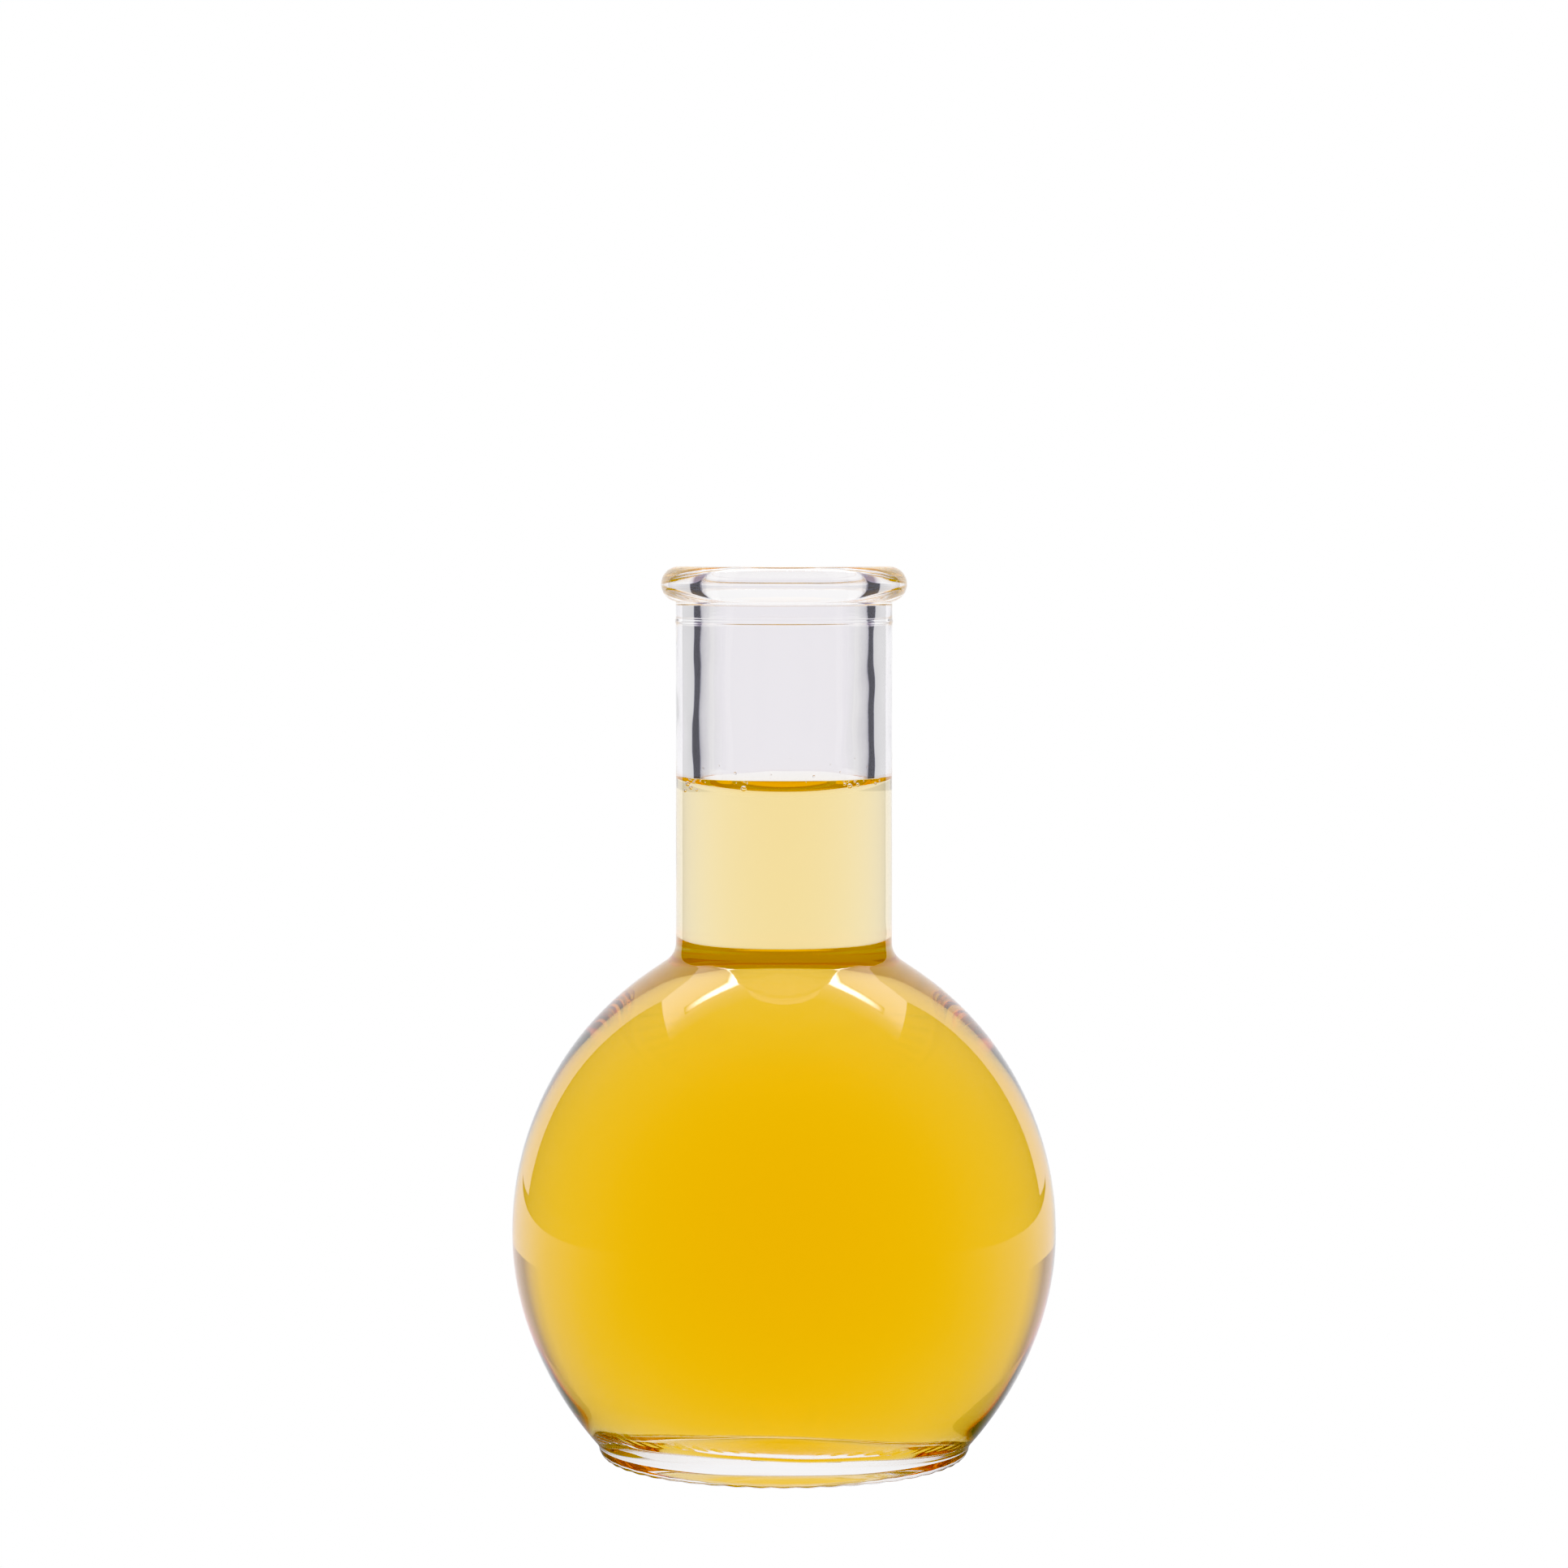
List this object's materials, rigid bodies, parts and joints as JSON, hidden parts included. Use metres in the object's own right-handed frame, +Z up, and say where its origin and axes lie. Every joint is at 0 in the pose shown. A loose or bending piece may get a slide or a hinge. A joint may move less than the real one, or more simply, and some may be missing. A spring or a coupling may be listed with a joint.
{
  "type": "globe flask",
  "caption": "Clear glass globe flask with a flat thick base, straight neck and beaded lip, filled with yellow liquid up into the neck.",
  "frame": {"origin": "centre of the base's bearing ring, on the surface the flask stands on", "axes": "+Z up along the axis the flask is turned about, through the middle of the neck; X and Y are level and alike"},
  "size_m": [0.063, 0.063, 0.103],
  "materials": {
    "clear_glass": "clear moulded glass, fire polished at the lip",
    "yellow_liquid": "clear yellow liquid"
  },
  "bodies": {
    "root": {"flask_glass": "clear_glass", "liquid_fill": "yellow_liquid"}
  },
  "joints": []
}
